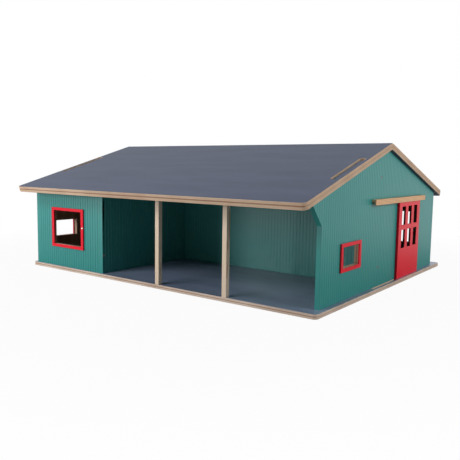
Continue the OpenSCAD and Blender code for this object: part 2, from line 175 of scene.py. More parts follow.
def make_film(name, dark, light, roughness, shine):
    """Make the film in two near tones, with its roughness and the level of its shine."""
    film, tree, shader = new_material(name)
    place = add(tree, "ShaderNodeAttribute", attribute_name=PLACE).outputs["Vector"]
    clouds_at = add(tree, "ShaderNodeVectorMath",
                    {0: place, 1: (1 / CLOUD_LONG_MM, 1 / CLOUD_WIDE_MM, 0)}, operation="MULTIPLY")
    clouds = add(tree, "ShaderNodeTexNoise",
                 {"Vector": clouds_at.outputs[0], "Scale": 1, "Detail": 4, "Roughness": 0.6})
    tone = add(tree, "ShaderNodeMapRange",
               {"Value": clouds.outputs["Fac"], "From Min": 0.3, "From Max": 0.7})
    colour = add(tree, "ShaderNodeMix",
                 {FACTOR: tone.outputs[0], FIRST: linear(dark), SECOND: linear(light)}, data_type="RGBA")
    tree.links.new(colour.outputs[MIXED], shader.inputs["Base Color"])
    paper_at = add(tree, "ShaderNodeVectorMath",
                   {0: place, "Scale": 1 / PAPER_GRAIN_MM}, operation="SCALE")
    paper = add(tree, "ShaderNodeTexNoise", {"Vector": paper_at.outputs[0], "Scale": 1, "Detail": 2})
    gloss = add(tree, "ShaderNodeMapRange",
                {"Value": paper.outputs["Fac"], "To Min": roughness - ROUGHNESS_SPREAD,
                 "To Max": roughness + ROUGHNESS_SPREAD})
    tree.links.new(gloss.outputs[0], shader.inputs["Roughness"])
    relief = add(tree, "ShaderNodeBump",
                 {"Height": paper.outputs["Fac"], "Distance": 0.02 * MM, "Strength": 1})
    tree.links.new(relief.outputs[0], shader.inputs["Normal"])
    shader.inputs["IOR"].default_value = 1.55
    shader.inputs["Specular IOR Level"].default_value = shine
    return film


roof_film = make_film("satin_slate_phenolic_film", "#3c455b", "#465066", 0.5, 0.17)
# The floor's tones are lighter than the roof's as painted light, for the brighter floor.
lit_floor_film = make_film("polished_slate_film_painted_lighter", "#647088", "#78849b", 0.32, 0.6)
print("films:", roof_film.name, lit_floor_film.name)

# %% [markdown]
# ### The cut edge of birch plywood
# Sawn and sanded plywood shows its veneers as stripes. In the photograph a pale layer lies
# above and below a thin dark core of end grain. Fine glue lines part the single veneers. On
# the edges that cross the outer grain the core shows less. The stripes follow the number that
# says how far through the board a point lies, so they stay level on every edge. Sanded birch
# without oil is matt, so the roughness is 0.7. The two sheets came from different logs: the
# roof's edges are warmer, and the base's edges are paler.

# %% Make the plywood edge
STREAK_LONG_MM, STREAK_HIGH_MM = 24, 0.7
PATCH_MM = 60
STREAK_WEIGHT, PATCH_WEIGHT = 0.5, 0.7   # against the core, which weighs up to 0.75
CORE_MIDDLE, CORE_HALF = 0.47, 0.09      # as parts of the board's thickness
VENEERS = 5
GLUE_PART = 0.12                         # part of a veneer's height on each side of a glue line


def make_plies(name, outer_layers, core, glue):
    """Make the stripes of a cut plywood edge."""
    plies, tree, shader = new_material(name)
    place = add(tree, "ShaderNodeAttribute", attribute_name=PLACE).outputs["Vector"]
    through = add(tree, "ShaderNodeAttribute", attribute_name=THROUGH).outputs["Fac"]
    turned = add(tree, "ShaderNodeAttribute", attribute_name=TURNED).outputs["Fac"]
    streaks_at = add(tree, "ShaderNodeVectorMath",
                     {0: place, 1: (1 / STREAK_LONG_MM, 1 / STREAK_LONG_MM, 1 / STREAK_HIGH_MM)},
                     operation="MULTIPLY")
    streaks = add(tree, "ShaderNodeTexNoise",
                  {"Vector": streaks_at.outputs[0], "Scale": 1, "Detail": 3, "Roughness": 0.6})
    patches_at = add(tree, "ShaderNodeVectorMath", {0: place, "Scale": 1 / PATCH_MM}, operation="SCALE")
    patches = add(tree, "ShaderNodeTexNoise", {"Vector": patches_at.outputs[0], "Scale": 1, "Detail": 2})
    in_core = add(tree, "ShaderNodeMath", {0: through, 1: CORE_MIDDLE, 2: CORE_HALF}, operation="COMPARE")
    core_seen = add(tree, "ShaderNodeMapRange", {"Value": turned, "To Min": 0.75, "To Max": 0.25})
    dark_core = add(tree, "ShaderNodeMath",
                    {0: in_core.outputs[0], 1: core_seen.outputs[0]}, operation="MULTIPLY")
    streaked = add(tree, "ShaderNodeMath",
                   {0: streaks.outputs["Fac"], 1: STREAK_WEIGHT, 2: dark_core.outputs[0]},
                   operation="MULTIPLY_ADD")
    darkness = add(tree, "ShaderNodeMath",
                   {0: patches.outputs["Fac"], 1: PATCH_WEIGHT, 2: streaked.outputs[0]},
                   operation="MULTIPLY_ADD")
    tone = add(tree, "ShaderNodeMapRange",
               {"Value": darkness.outputs[0], "From Min": 0.35, "From Max": 1.35})
    wood = add(tree, "ShaderNodeMix",
               {FACTOR: tone.outputs[0], FIRST: linear(outer_layers), SECOND: linear(core)},
               data_type="RGBA")
    veneer = add(tree, "ShaderNodeMath", {0: through, 1: VENEERS}, operation="MULTIPLY")
    to_line = add(tree, "ShaderNodeMath", {0: veneer.outputs[0], 1: 0.5}, operation="PINGPONG")
    in_glue = add(tree, "ShaderNodeMapRange",
                  {"Value": to_line.outputs[0], "From Min": GLUE_PART, "From Max": 0, "To Max": 0.3})
    colour = add(tree, "ShaderNodeMix",
                 {FACTOR: in_glue.outputs[0], FIRST: wood.outputs[MIXED], SECOND: linear(glue)},
                 data_type="RGBA")
    tree.links.new(colour.outputs[MIXED], shader.inputs["Base Color"])
    relief = add(tree, "ShaderNodeBump",
                 {"Height": streaks.outputs["Fac"], "Distance": 0.06 * MM, "Strength": 1})
    tree.links.new(relief.outputs[0], shader.inputs["Normal"])
    shader.inputs["Roughness"].default_value = 0.7
    shader.inputs["IOR"].default_value = 1.5
    return plies


warm_plywood = make_plies("warm_birch_ply_cut_edge", "#caaf96", "#86624a", "#634a38")
pale_plywood = make_plies("pale_birch_ply_cut_edge", "#d5c3b4", "#94745f", "#6c5645")
print("plywood edges:", warm_plywood.name, pale_plywood.name)

# %% [markdown]
# ### Bare birch inside the closed room
# Through the front window the corner room looks brown and dark, not green, so its walls are
# bare inside. A rotary-cut birch veneer is pale with slow, long waves of a slightly darker
# tone, because the knife peels the log in one endless sheet. Noise that is drawn out along
# the grain and bent a little gives such waves.

# %% Make the bare veneer
WAVE_LONG_MM, WAVE_WIDE_MM = 90, 14


def make_veneer(name, pale, dark):
    """Make a sheet of rotary-cut veneer."""
    veneer, tree, shader = new_material(name)
    place = add(tree, "ShaderNodeAttribute", attribute_name=PLACE).outputs["Vector"]
    waves_at = add(tree, "ShaderNodeVectorMath",
                   {0: place, 1: (1 / WAVE_LONG_MM, 1 / WAVE_WIDE_MM, 0)}, operation="MULTIPLY")
    waves = add(tree, "ShaderNodeTexNoise",
                {"Vector": waves_at.outputs[0], "Scale": 1, "Detail": 5, "Distortion": 0.6})
    colour = add(tree, "ShaderNodeMix",
                 {FACTOR: waves.outputs["Fac"], FIRST: linear(pale), SECOND: linear(dark)},
                 data_type="RGBA")
    tree.links.new(colour.outputs[MIXED], shader.inputs["Base Color"])
    relief = add(tree, "ShaderNodeBump",
                 {"Height": waves.outputs["Fac"], "Distance": 0.08 * MM, "Strength": 1})
    tree.links.new(relief.outputs[0], shader.inputs["Normal"])
    shader.inputs["Roughness"].default_value = 0.65
    shader.inputs["IOR"].default_value = 1.5
    return veneer


bare_veneer = make_veneer("bare_birch_veneer", "#cda583", "#a97c58")
print("veneer:", bare_veneer.name)

# %% [markdown]
# ### Green paint
# The walls are grooved board, spray-painted in a satin green. The colour is painted darker
# towards the bottom of a groove, as painted shade in the hollow. Acrylic paint has
# an IOR near 1.5, and this coat is smooth enough for a soft sheen, with a roughness of 0.38.
# A faint orange peel 3 mm wide is what a spray gun leaves.

# %% Make the green paint
GROOVE_DEPTH_MM = 0.6                    # as cut
PEEL_MM = 3
COAT_PATCH_MM = 70


def make_green(name, face, thin, groove_shade):
    """Make satin paint in two near tones, with painted shade at the bottom of a groove."""
    paint, tree, shader = new_material(name)
    place = add(tree, "ShaderNodeAttribute", attribute_name=PLACE).outputs["Vector"]
    depth = add(tree, "ShaderNodeSeparateXYZ", {0: place}).outputs["Z"]
    # Painted shade: the colour is darkened with depth into a groove, for the shade in its hollow.
    groove_shade_depth = add(tree, "ShaderNodeMapRange",
                    {"Value": depth, "From Min": 0.05, "From Max": GROOVE_DEPTH_MM, "To Max": 0.7})
    patches_at = add(tree, "ShaderNodeVectorMath",
                     {0: place, "Scale": 1 / COAT_PATCH_MM}, operation="SCALE")
    patches = add(tree, "ShaderNodeTexNoise", {"Vector": patches_at.outputs[0], "Scale": 1, "Detail": 3})
    coat = add(tree, "ShaderNodeMix",
               {FACTOR: patches.outputs["Fac"], FIRST: linear(face), SECOND: linear(thin)},
               data_type="RGBA")
    below = add(tree, "ShaderNodeMath", {0: depth, 1: GROOVE_DEPTH_MM + 0.1}, operation="LESS_THAN")
    groove_shade_part = add(tree, "ShaderNodeMath",
                      {0: groove_shade_depth.outputs[0], 1: below.outputs[0]}, operation="MULTIPLY")
    colour = add(tree, "ShaderNodeMix",
                 {FACTOR: groove_shade_part.outputs[0], FIRST: coat.outputs[MIXED], SECOND: linear(groove_shade)},
                 data_type="RGBA")
    tree.links.new(colour.outputs[MIXED], shader.inputs["Base Color"])
    peel_at = add(tree, "ShaderNodeVectorMath", {0: place, "Scale": 1 / PEEL_MM}, operation="SCALE")
    peel = add(tree, "ShaderNodeTexNoise", {"Vector": peel_at.outputs[0], "Scale": 1, "Detail": 1})
    relief = add(tree, "ShaderNodeBump",
                 {"Height": peel.outputs["Fac"], "Distance": 0.04 * MM, "Strength": 1})
    tree.links.new(relief.outputs[0], shader.inputs["Normal"])
    shader.inputs["Roughness"].default_value = 0.38
    shader.inputs["IOR"].default_value = 1.5
    return paint


# The last colour is the painted shade at the bottom of the grooves.
green_paint = make_green("satin_green_acrylic_paint", "#1f7f7b", "#27837e", "#19665f")
print("paint:", green_paint.name)

# %% [markdown]
# ### Red lacquer
# The door and the window frames are dipped in a red lacquer. It flows before it dries, so its
# skin is smooth with slow waves about 8 mm long, and its roughness changes a little with
# them. Its shine is turned down, so that the red stays as deep as in the photograph.

# %% Make the red lacquer
WAVE_MM = 8


def make_red(name, full, thin):
    """Make smooth red lacquer."""
    lacquer, tree, shader = new_material(name)
    place = add(tree, "ShaderNodeAttribute", attribute_name=PLACE).outputs["Vector"]
    waves_at = add(tree, "ShaderNodeVectorMath", {0: place, "Scale": 1 / WAVE_MM}, operation="SCALE")
    waves = add(tree, "ShaderNodeTexNoise", {"Vector": waves_at.outputs[0], "Scale": 1, "Detail": 2})
    colour = add(tree, "ShaderNodeMix",
                 {FACTOR: waves.outputs["Fac"], FIRST: linear(full), SECOND: linear(thin)},
                 data_type="RGBA")
    tree.links.new(colour.outputs[MIXED], shader.inputs["Base Color"])
    gloss = add(tree, "ShaderNodeMapRange",
                {"Value": waves.outputs["Fac"], "To Min": 0.3, "To Max": 0.42})
    tree.links.new(gloss.outputs[0], shader.inputs["Roughness"])
    relief = add(tree, "ShaderNodeBump",
                 {"Height": waves.outputs["Fac"], "Distance": 0.05 * MM, "Strength": 1})
    tree.links.new(relief.outputs[0], shader.inputs["Normal"])
    shader.inputs["IOR"].default_value = 1.5
    shader.inputs["Specular IOR Level"].default_value = 0.2
    return lacquer


red_lacquer = make_red("red_alkyd_lacquer", "#d90b25", "#de122c")
print("lacquer:", red_lacquer.name)

# %% [markdown]
# ### Painted shade on the panes' edges
# The narrow edges of the door's panes get a near-black, matt and slightly uneven colour,
# as painted shade in these thin reveals.

# %% Make the painted shade of the pane edges
pane_edge_shade, tree, shader = new_material("pane_edge_painted_shade")
place = add(tree, "ShaderNodeAttribute", attribute_name=PLACE).outputs["Vector"]
shade_mottle = add(tree, "ShaderNodeTexNoise", {"Vector": place, "Scale": 1.5, "Detail": 3})
# Painted shade: two near-black tones for the narrow edges of the panes.
colour = add(tree, "ShaderNodeMix",
             {FACTOR: shade_mottle.outputs["Fac"], FIRST: linear("#140a08"), SECOND: linear("#4a1d18")},
             data_type="RGBA")
tree.links.new(colour.outputs[MIXED], shader.inputs["Base Color"])
shader.inputs["Roughness"].default_value = 0.85
print("pane_shade:", pane_edge_shade.name)

# %% [markdown]
# ### Planed pine
# The posts and the rail are bare pine. A log grows a ring a year: wide pale spring wood, then
# a thin amber line. A stick sawn from it shows rings on its ends and long lines on its sides.
# One formula gives both: the distance from the middle of the log, which lies 46 mm to the
# side, is cut into rings 2.6 mm apart and bent a little by noise. The posts are pale sapwood,
# and the rail is warmer heartwood.

# %% Make the pine
RING_MM = 2.6
HEART_MM = (0, 46, 17)
BEND_MM, BEND_LONG_MM, BEND_WIDE_MM = 3, 120, 20
FIBRE_LONG_MM, FIBRE_WIDE_MM = 30, 0.5
FIBRE_WEIGHT, TURNED_WEIGHT = 0.35, 0.1  # against the dark line of a ring


def make_pine(name, spring, summer):
    """Make pine as a solid texture of year rings."""
    pine, tree, shader = new_material(name)
    place = add(tree, "ShaderNodeAttribute", attribute_name=PLACE).outputs["Vector"]
    bend_at = add(tree, "ShaderNodeVectorMath",
                  {0: place, 1: (1 / BEND_LONG_MM, 1 / BEND_WIDE_MM, 1 / BEND_WIDE_MM)},
                  operation="MULTIPLY")
    bend = add(tree, "ShaderNodeTexNoise", {"Vector": bend_at.outputs[0], "Scale": 1, "Detail": 2})
    cross = add(tree, "ShaderNodeVectorMath", {0: place, 1: (0, 1, 1)}, operation="MULTIPLY")
    from_heart = add(tree, "ShaderNodeVectorMath",
                     {0: cross.outputs[0], 1: HEART_MM}, operation="DISTANCE")
    bent = add(tree, "ShaderNodeMath",
               {0: bend.outputs["Fac"], 1: BEND_MM, 2: from_heart.outputs["Value"]},
               operation="MULTIPLY_ADD")
    rings = add(tree, "ShaderNodeMath", {0: bent.outputs[0], 1: RING_MM}, operation="DIVIDE")
    in_year = add(tree, "ShaderNodeMath", {0: rings.outputs[0]}, operation="FRACT")
    late = add(tree, "ShaderNodeMapRange",
               {"Value": in_year.outputs[0], "From Min": 0.45, "From Max": 0.95},
               interpolation_type="SMOOTHSTEP")
    fibre_at = add(tree, "ShaderNodeVectorMath",
                   {0: place, 1: (1 / FIBRE_LONG_MM, 1 / FIBRE_WIDE_MM, 1 / FIBRE_WIDE_MM)},
                   operation="MULTIPLY")
    fibre = add(tree, "ShaderNodeTexNoise", {"Vector": fibre_at.outputs[0], "Scale": 1, "Detail": 3})
    turned = add(tree, "ShaderNodeAttribute", attribute_name=TURNED).outputs["Fac"]
    fibrous = add(tree, "ShaderNodeMath",
                  {0: fibre.outputs["Fac"], 1: FIBRE_WEIGHT, 2: late.outputs[0]},
                  operation="MULTIPLY_ADD")
    darkness = add(tree, "ShaderNodeMath",
                   {0: turned, 1: TURNED_WEIGHT, 2: fibrous.outputs[0]}, operation="MULTIPLY_ADD")
    tone = add(tree, "ShaderNodeMapRange",
               {"Value": darkness.outputs[0], "From Min": 0.1, "From Max": 1.6})
    colour = add(tree, "ShaderNodeMix",
                 {FACTOR: tone.outputs[0], FIRST: linear(spring), SECOND: linear(summer)},
                 data_type="RGBA")
    tree.links.new(colour.outputs[MIXED], shader.inputs["Base Color"])
    relief = add(tree, "ShaderNodeBump",
                 {"Height": fibre.outputs["Fac"], "Distance": 0.05 * MM, "Strength": 1})
    tree.links.new(relief.outputs[0], shader.inputs["Normal"])
    shader.inputs["Roughness"].default_value = 0.62
    shader.inputs["IOR"].default_value = 1.5
    return pine


pale_pine = make_pine("planed_sapwood_pine", "#dccbb6", "#b8916e")
warm_pine = make_pine("planed_heartwood_pine", "#e0b890", "#a4683f")
print("woods:", pale_pine.name, warm_pine.name)

# %% [markdown]
# ### Zinc and nickel
# The screws are steel with a thin zinc plating, a grey that has dulled. The small pin in the
# front window's frame is nickel plated, so it is brighter and smoother. Both are metals, so
# metallic is 1 and the IOR stays as it is. Faint blotches in colour and roughness are what
# plating and handling leave.

# %% Make the two platings
BLOTCH_MM = 1.5


def make_plating(name, bright, dull, low, high):
    """Make a plated metal whose gloss varies in small blotches."""
    plating, tree, shader = new_material(name)
    here = add(tree, "ShaderNodeTexCoord").outputs["Object"]
    blotches = add(tree, "ShaderNodeTexNoise",
                   {"Vector": here, "Scale": 1 / (BLOTCH_MM * MM), "Detail": 3})
    colour = add(tree, "ShaderNodeMix",
                 {FACTOR: blotches.outputs["Fac"], FIRST: linear(bright), SECOND: linear(dull)},
                 data_type="RGBA")
    tree.links.new(colour.outputs[MIXED], shader.inputs["Base Color"])
    gloss = add(tree, "ShaderNodeMapRange",
                {"Value": blotches.outputs["Fac"], "To Min": low, "To Max": high})
    tree.links.new(gloss.outputs[0], shader.inputs["Roughness"])
    shader.inputs["Metallic"].default_value = 1
    return plating


zinc = make_plating("zinc_plated_steel", "#a8a09d", "#857d7a", 0.5, 0.7)
nickel = make_plating("nickel_plated_steel", "#f2eee6", "#e2dcd2", 0.2, 0.35)
print("metals:", zinc.name, nickel.name)

# %% [markdown]
# ## From a solid to a board
# The model's boards have perfectly sharp edges, and its meshes are cut into triangles. A real
# board is sanded, so a thin bright line runs along each edge, and that line is half of what
# makes wood look real. A bevel modifier would round every edge alike, also the grooves. So
# each board is copied, its triangles are joined back into whole faces, and only chosen edges
# are bevelled. The copy takes the board's place, and the solid stays hidden for the joints
# and collisions.

# %% Who carries what
RECORD = frame["record"]
BODY_OF = {node: body for body, nodes in RECORD["behaviour"]["bodies"].items() for node in nodes}
WELD = 1e-6
FLAT_WITHIN = math.radians(0.5)


def whole_faces(node):
    """Copy a node's mesh, weld it and join the triangles that lie in one plane."""
    board = bmesh.new()
    board.from_mesh(frame["nodes"][node].data)
    bmesh.ops.remove_doubles(board, verts=board.verts, dist=WELD)
    bmesh.ops.dissolve_limit(board, angle_limit=FLAT_WITHIN, verts=board.verts, edges=board.edges)
    return board


def place_piece(name, mesh, node):
    """Put a finished mesh in the scene in place of a node."""
    piece = bpy.data.objects.new(name, mesh)
    bpy.context.scene.collection.objects.link(piece)
    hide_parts(node)
    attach(piece, BODY_OF[node])
    return piece


print("bodies:", sorted(set(BODY_OF.values())))

# %% [markdown]
# ## Screws
# The screws are made first, because the boards' edges are left alone where a screw sits. Each
# screw in the model is a plain cone and shank. The real one has a countersunk head with a
# cross cut into it by the punch. The places are found from the model's own screws: each
# separate lump of a node is one screw, its longest side is its axis, and its head is the end
# where it is widest.

# %% Find the screws
RIM_PART = 0.9                           # points farther out than this part of the radius lie on the rim


def lumps(node):
    """Return the points of each separate lump of a node's mesh."""
    mesh = whole_faces(node)
    found, seen = [], set()
    for start in mesh.verts:
        if start in seen:
            continue
        lump, queue = [], [start]
        seen.add(start)
        while queue:
            vert = queue.pop()
            lump.append(vert.co.copy())
            for edge in vert.link_edges:
                other = edge.other_vert(vert)
                if other not in seen:
                    seen.add(other)
                    queue.append(other)
        found.append(lump)
    mesh.free()
    return found


def unit(axis):
    """Return the unit vector along X, Y or Z."""
    return Vector([1 if i == axis else 0 for i in range(3)])


def screw_from(points):
    """Return a screw's head middle, outward direction, head radius and length."""
    low = Vector([min(p[i] for p in points) for i in range(3)])
    high = Vector([max(p[i] for p in points) for i in range(3)])
    span, middle = high - low, (high + low) / 2
    long_axis = max(range(3), key=lambda i: span[i])
    axis, radius = unit(long_axis), min(span) / 2
    rim = [p for p in points if (p - middle - (p - middle).dot(axis) * axis).length > RIM_PART * radius]
    side = 1 if sum(p[long_axis] for p in rim) / len(rim) > middle[long_axis] else -1
    return middle + side * axis * span[long_axis] / 2, side * axis, radius, span[long_axis]


SCREW_NODES = ("wall_screws", "base_screws", "rail_screws")
screws = {node: [screw_from(lump) for lump in lumps(node)] for node in SCREW_NODES}
print("screws:", {node: len(found) for node, found in screws.items()})

# %% [markdown]
# A screw is turned and then punched. Its cross could be cut by a Boolean, but that leaves
# ragged meshes on such a small thing. So its mesh is a stack of rings, as on a lathe, and the
# flat top is a sheet between the outer ring and the outline of the cross, whose walls narrow
# towards the bottom.

# %% Turn and punch a screw
AROUND = 24
HEAD_FLAT, HEAD_RIM = 0.94, 0.05         # the flat top and the rim, as parts of the head's radius
CROSS_REACH, CROSS_HALF = 0.62, 0.15     # as parts of the head's radius
CROSS_DEEP, CROSS_TAPER = 0.45, 0.6
SHANK_PART = 0.5                         # shank radius as a part of the head's radius
POINT_PART = 0.2                         # radius of the point as a part of the shank's radius


def ring(mesh, radius, height):
    """Add a ring of points round the Z axis."""
    return [mesh.verts.new((radius * math.cos(a), radius * math.sin(a), height))
            for a in (2 * math.pi * i / AROUND for i in range(AROUND))]


def join_rings(mesh, rings):
    """Close the sides between each ring and the next one below it."""
    for upper, lower in zip(rings, rings[1:]):
        for i in range(len(upper)):
            j = (i + 1) % len(upper)
            mesh.faces.new((upper[j], upper[i], lower[i], lower[j]))


def cross_outline(radius):
    """Return the twelve corners of a cross in a head of that radius."""
    reach, half = CROSS_REACH * radius, CROSS_HALF * radius
    corners = []
    for quarter in range(4):
        turn = Matrix.Rotation(quarter * math.pi / 2, 2)
        corners += [turn @ Vector(corner) for corner in ((reach, -half), (reach, half), (half, half))]
    return corners


def punched_screw(mesh, radius, length):
    """Add one screw to a mesh, its head's face at Z = 0 and its point below."""
    shank = SHANK_PART * radius
    rings = [ring(mesh, HEAD_FLAT * radius, 0), ring(mesh, radius, -HEAD_RIM * radius),
             ring(mesh, shank, -(radius - shank)), ring(mesh, shank, -(length - 2 * shank)),
             ring(mesh, POINT_PART * shank, -length)]
    join_rings(mesh, rings)
    mesh.faces.new(rings[-1])
    top = [mesh.verts.new((x, y, 0)) for x, y in cross_outline(radius)]
    deep = CROSS_DEEP * radius
    floor = [mesh.verts.new((CROSS_TAPER * x, CROSS_TAPER * y, -deep)) for x, y in cross_outline(radius)]
    edges = [mesh.edges.get((a, b)) for a, b in zip(rings[0], rings[0][1:] + rings[0][:1])]
    edges += [mesh.edges.new((a, b)) for a, b in zip(top, top[1:] + top[:1])]
    bmesh.ops.triangle_fill(mesh, edges=edges, use_beauty=True)
    join_rings(mesh, [top, floor])
    mesh.faces.new(floor)


test = bmesh.new()
punched_screw(test, 2.8 * MM, 24 * MM)
print("one screw has", len(test.faces), "faces and open edges:", sum(e.is_boundary for e in test.edges))
test.free()

# %% [markdown]
# Every screw of a node becomes part of one mesh, since they are driven in together and never
# move apart. Each is made at the origin, turned a little further than the one before, stood
# up along its own axis and moved to its head's place.

# %% Put the screws in their places
CROSS_TURN = math.radians(37)            # each screw stopped at another angle
SCREW_SMOOTH_BELOW = math.radians(30)


def driven_screws(name, node):
    """Build all the screws of a node as one piece."""
    group = bmesh.new()
    for number, (head, outward, radius, length) in enumerate(screws[node]):
        one = bmesh.new()
        punched_screw(one, radius, length)
        bmesh.ops.recalc_face_normals(one, faces=one.faces)
        turn = Matrix.Rotation(number * CROSS_TURN, 4, "Z")
        stand = Vector((0, 0, 1)).rotation_difference(outward).to_matrix().to_4x4()
        one.transform(Matrix.Translation(head) @ stand @ turn)
        loose = bpy.data.meshes.new("one_screw")
        one.to_mesh(loose)
        one.free()
        group.from_mesh(loose)
        bpy.data.meshes.remove(loose)
    mesh = bpy.data.meshes.new(name)
    group.to_mesh(mesh)
    group.free()
    mesh.materials.append(zinc)
    mesh.shade_smooth()
    mesh.set_sharp_from_angle(angle=SCREW_SMOOTH_BELOW)
    return place_piece(name, mesh, node)


for node in SCREW_NODES:
    driven_screws("zinc_" + node, node)
print("screws are in place")

# %% [markdown]
# ## Boards with eased edges
# Three things are done to a board. Its long convex edges get a bevel of three steps. Its
# points get their place in the board. Its faces get a material, from where they look: the
# outer faces have film or paint, and cut edges may be bare. All of it needs to know which way
# the outer face looks, so that is measured first.

# %% Measure a board
FACING_WITHIN = math.radians(10)


def outer_plane(board, facing):
    """Return the exact direction of the board's outer face and how far out it lies."""
    facing = Vector(facing).normalized()
    faces = [f for f in board.faces if f.normal.dot(facing) > math.cos(FACING_WITHIN)]
    outward = sum((f.normal * f.calc_area() for f in faces), Vector()).normalized()
    return outward, max(v.co.dot(outward) for v in board.verts)


def near_a_screw(point):
    """Tell whether a point lies at the head or the hole of a screw."""
    for found in screws.values():
        for head, outward, radius, length in found:
            along = (head - point).dot(outward)
            if -MM < along < length + MM and (head - along * outward - point).length < radius + MM:
                return True
    return False


ROOF_SLOPE = 0.302                       # the rise of the roof against its run
test = whole_faces("front_roof")
roof_outward, _ = outer_plane(test, (0, -ROOF_SLOPE, 1))
print("the front roof looks towards", [round(c, 3) for c in roof_outward])
test.free()

# %% [markdown]
# The bevel takes only edges that a sander would meet: convex, sharper than 50 degrees, longer
# than a given length and away from screws. On the grooved boards the short steps between the
# grooves stay as they are. On the boards with film only the outline is eased, because the
# cutter leaves the slots and the door's groove sharp.

# %% Ease the edges
SHARP = math.radians(50)
SIDE = 0.5                               # cosine below which a face counts as a side of the board
BEVEL_STEPS = 3
TOUCHING = 0.1 * MM


def on_outline(board, edge, outward):
    """Tell whether no part of the board lies outside the side faces of an edge."""
    sides = [f.normal for f in edge.link_faces if abs(f.normal.dot(outward)) < SIDE]
    here = edge.verts[0].co
    return all(max(v.co.dot(side) for v in board.verts) - here.dot(side) < TOUCHING for side in sides)


def ease_edges(board, outward, width_mm, shortest_mm, outline_only):
    """Bevel the long convex edges of a board."""
    board.normal_update()
    chosen = [e for e in board.edges
              if len(e.link_faces) == 2 and e.calc_face_angle_signed() > SHARP
              and e.calc_length() > shortest_mm * MM
              and not near_a_screw((e.verts[0].co + e.verts[1].co) / 2)
              and not (outline_only and not on_outline(board, e, outward))]
    bmesh.ops.bevel(board, geom=chosen, offset=width_mm * MM, offset_type="OFFSET",
                    segments=BEVEL_STEPS, profile=0.5, affect="EDGES", clamp_overlap=False)
    return len(chosen)


def store_places(board, outward, out_at, thick, grain, shift_mm):
    """Store each point's place in its board, and which faces cut across the grain."""
    along = (Vector(grain) - Vector(grain).dot(outward) * outward).normalized()
    across = outward.cross(along)
    place = board.verts.layers.float_vector.new(PLACE)
    through = board.verts.layers.float.new(THROUGH)
    turned = board.faces.layers.float.new(TURNED)
    for vert in board.verts:
        depth = (out_at - vert.co.dot(outward)) / MM
        vert[place] = (vert.co.dot(along) / MM + shift_mm, vert.co.dot(across) / MM + shift_mm, depth)
        vert[through] = depth * MM / thick
    for face in board.faces:
        face[turned] = 1 if abs(face.normal.dot(along)) > abs(face.normal.dot(across)) else 0


print("bevel steps:", BEVEL_STEPS)

# %% [markdown]
# One function now builds a board from these steps. Each board's places start somewhere else,
# so that no two boards show the same clouds or rings. The weighted normals keep the large
# faces flat in the light and leave the soft shading to the narrow bevels.

# %% Build one board
SMOOTH_BELOW = math.radians(35)
PATTERN_STEP_MM, PATTERN_STARTS = 137, 7


def build_board(node, name, facing, grain, ease_mm, shortest_mm, coats, pick=None,
                outline_only=False, shape=None):
    """Dress one board. pick says which of the coats lies on a face, and shape cuts it first."""
    board = whole_faces(node)
    outward, out_at = outer_plane(board, facing)
    if shape:
        shape(board, outward)
    eased = ease_edges(board, outward, ease_mm, shortest_mm, outline_only)
    board.normal_update()
    shift_mm = PATTERN_STEP_MM * (len(bpy.data.meshes) % PATTERN_STARTS)
    thick = out_at - min(v.co.dot(outward) for v in board.verts)
    store_places(board, outward, out_at, thick, grain, shift_mm)
    for face in board.faces:
        depth = out_at - face.calc_center_median().dot(outward)
        face.material_index = pick(face, outward, depth, thick) if pick else 0
    mesh = bpy.data.meshes.new(name)
    board.to_mesh(mesh)
    board.free()
    if "custom_normal" in mesh.attributes:
        mesh.attributes.remove(mesh.attributes["custom_normal"])
    for material in coats:
        mesh.materials.append(material)
    mesh.shade_smooth()
    mesh.set_sharp_from_angle(angle=SMOOTH_BELOW)
    piece = place_piece(name, mesh, node)
    piece.modifiers.new("flat_faces_stay_flat", "WEIGHTED_NORMAL").keep_sharp = True
    print(f"{name}: {round(thick / MM, 1)} mm thick, {eased} edges eased, {len(mesh.polygons)} faces")
    return piece


# %% [markdown]
# ## Roof and base
# The film covers only the two faces, because the boards were cut after pressing. So every
# edge, every slot and the door's groove show bare veneers. A face has film only if it is flat
# and lies on one of the two outer planes, which needs no list of faces. The sander also breaks
# through the film along the outline, which is the thin light line in the photograph. Both
# boards are drawn with five plies, in 12 mm on the roof and in 8 mm on the base.

# %% Dress the roof and the base
FLAT = 0.98                              # cosine between a flat face and the board's own way
AT_FACE = 0.05 * MM


def film_or_bare(face, outward, depth, thick):
    """Return 0 for film on one of the two outer faces, and 1 for bare wood."""
    flat = abs(face.normal.dot(outward)) > FLAT
    outer = depth < AT_FACE or depth > thick - AT_FACE
    return 0 if flat and outer else 1


FILM_EASE_MM, FILM_SHORTEST_MM = 0.5, 0.3
FILM_BOARDS = (("front_roof", "front_roof_board", (0, -ROOF_SLOPE, 1), roof_film, warm_plywood),
               ("rear_roof", "rear_roof_board", (0, ROOF_SLOPE, 1), roof_film, warm_plywood),
               ("base_plate", "base_board", (0, 0, 1), lit_floor_film, pale_plywood))
for node, name, facing, film, plies in FILM_BOARDS:
    build_board(node, name, facing, (1, 0, 0), FILM_EASE_MM, FILM_SHORTEST_MM,
                (film, plies), film_or_bare, outline_only=True)

# %% [markdown]
# ## Grooved walls
# The walls were sprayed before the windows and the doorway were cut, so these openings have
# bare edges. A face counts as bare if it stands square to the wall and lies in one of the
# openings that the model's record lists. The frames lap 3 mm over the sides of the openings,
# so the search reaches a little past the listed boxes. The tops of the gables' tabs, which
# show in the roof's slots, are dark like the roof. The closed room at the left is bare inside.
# The paint fills the grooves a little. In the photograph they are plain on the front panel,
# faint on the right gable and faintest on the middle wall, so each wall says how deep its
# grooves are left.

